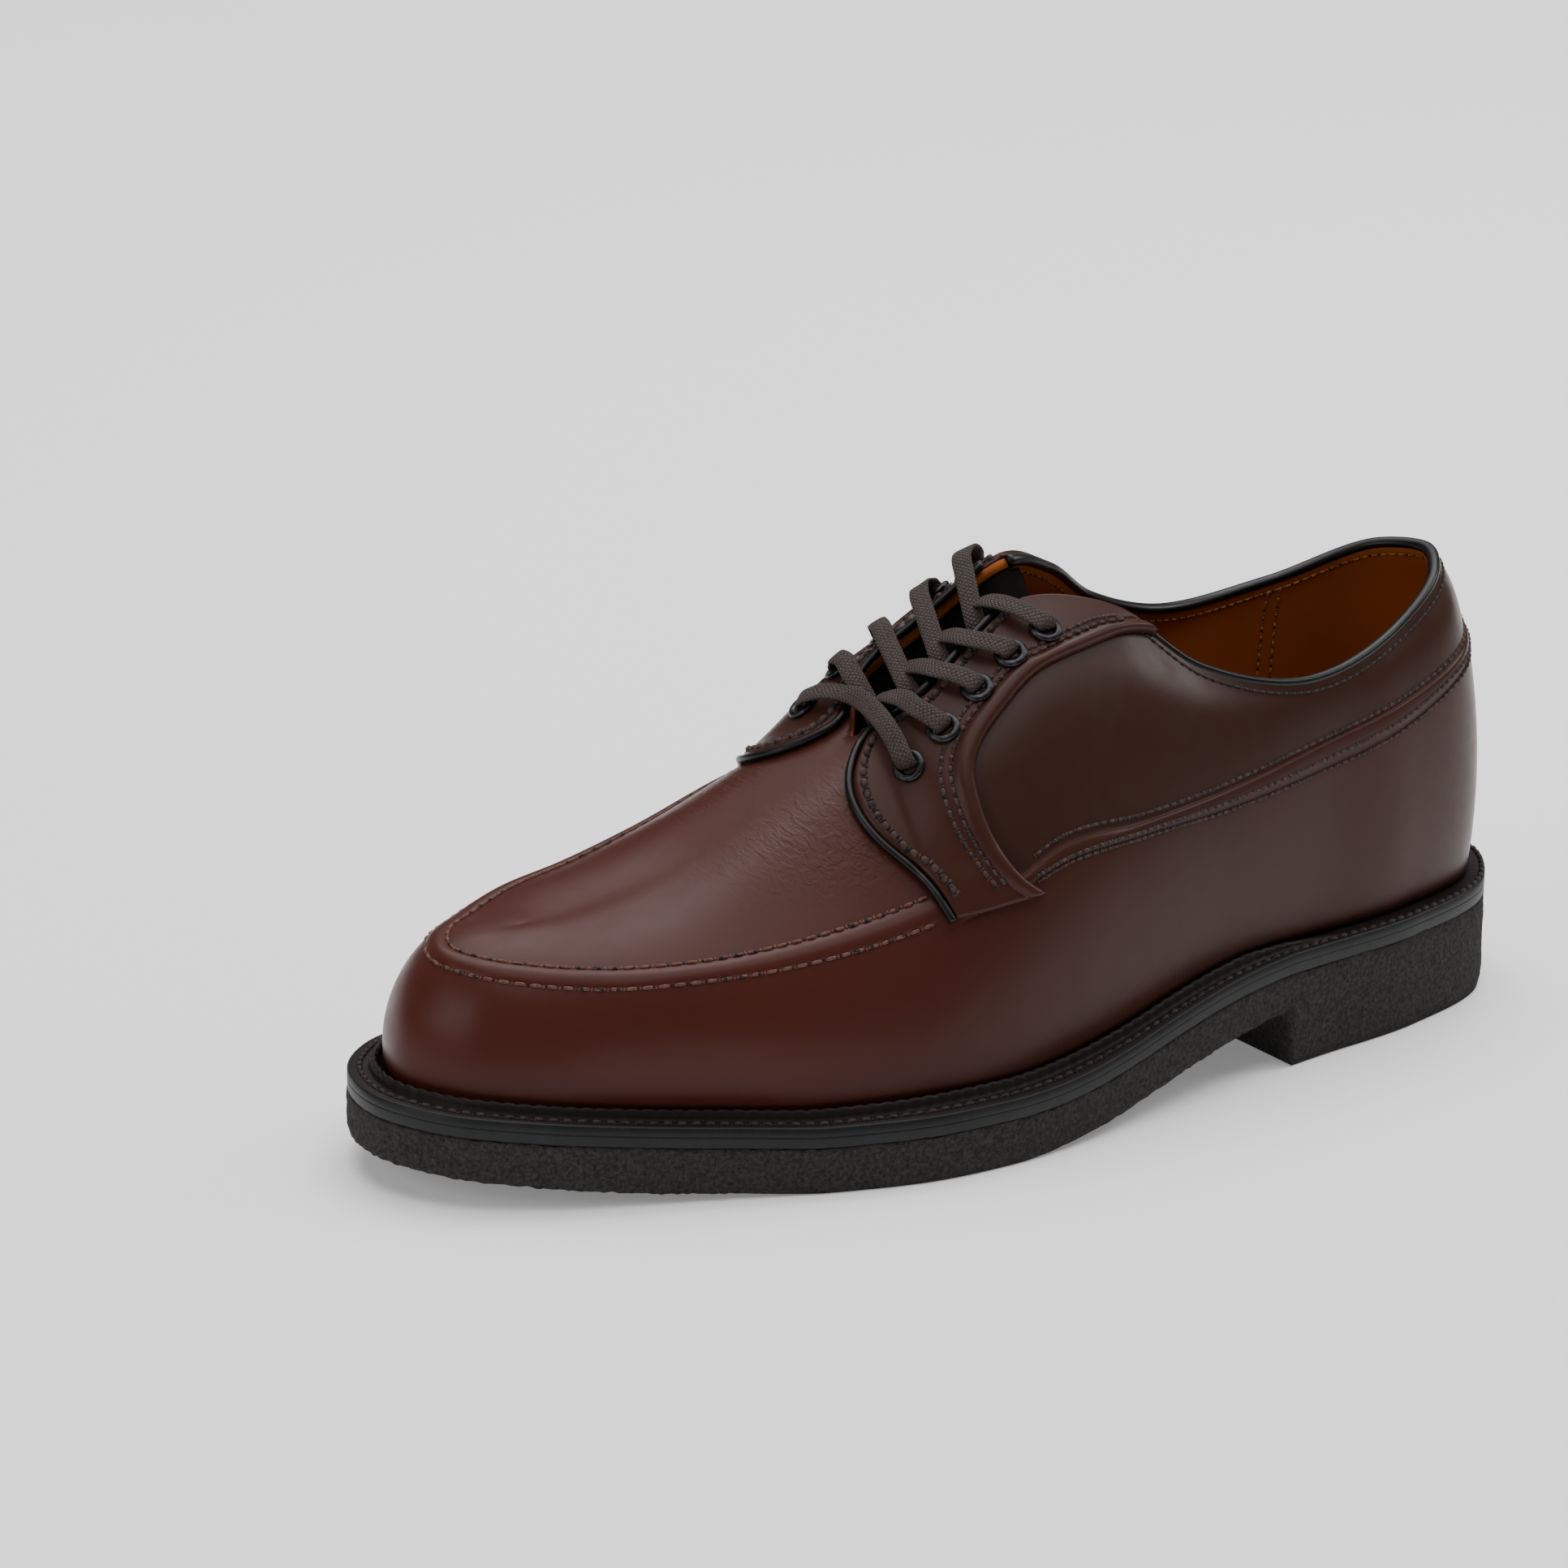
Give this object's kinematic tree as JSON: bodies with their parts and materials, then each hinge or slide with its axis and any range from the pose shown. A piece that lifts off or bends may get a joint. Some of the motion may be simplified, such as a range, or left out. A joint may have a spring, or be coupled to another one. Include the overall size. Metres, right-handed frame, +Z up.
{
  "type": "apron toe derby shoe",
  "caption": "Left apron toe derby shoe with open lacing, stitched welt and thick crepe sole with a low heel.",
  "frame": {"origin": "on the floor under the middle of the sole's bounding box", "axes": "+Z up, -Y towards the toe, +X towards the lateral side"},
  "size_m": [0.1115, 0.304, 0.1231],
  "materials": {
    "upper": "smooth waxed leather, soft sheen",
    "facing": "smooth waxed leather",
    "tongue": "smooth leather",
    "binding": "glossy rolled edge",
    "insole": "vegetable tanned lining",
    "welt": "dark stitched welt",
    "midsole": "smooth trimmed edge",
    "crepe": "rough granular crepe",
    "eyelet": "gunmetal",
    "lace": "flat waxed cotton"
  },
  "bodies": {
    "root": {"outsole": "crepe", "midsole": "midsole", "welt": "welt", "insole": "insole", "upper": "upper", "tongue": "tongue", "facing_outer": "facing", "facing_inner": "facing", "collar_binding": "binding", "facing_binding_outer": "binding", "facing_binding_inner": "binding", "lace_bar": "lace", "lace_cross_2": "lace", "lace_cross_3": "lace", "lace_cross_4": "lace", "lace_cross_5": "lace", "eyelet_outer_1": "eyelet", "eyelet_outer_2": "eyelet", "eyelet_outer_3": "eyelet", "eyelet_outer_4": "eyelet", "eyelet_outer_5": "eyelet", "eyelet_inner_1": "eyelet", "eyelet_inner_2": "eyelet", "eyelet_inner_3": "eyelet", "eyelet_inner_4": "eyelet", "eyelet_inner_5": "eyelet"}
  },
  "joints": []
}
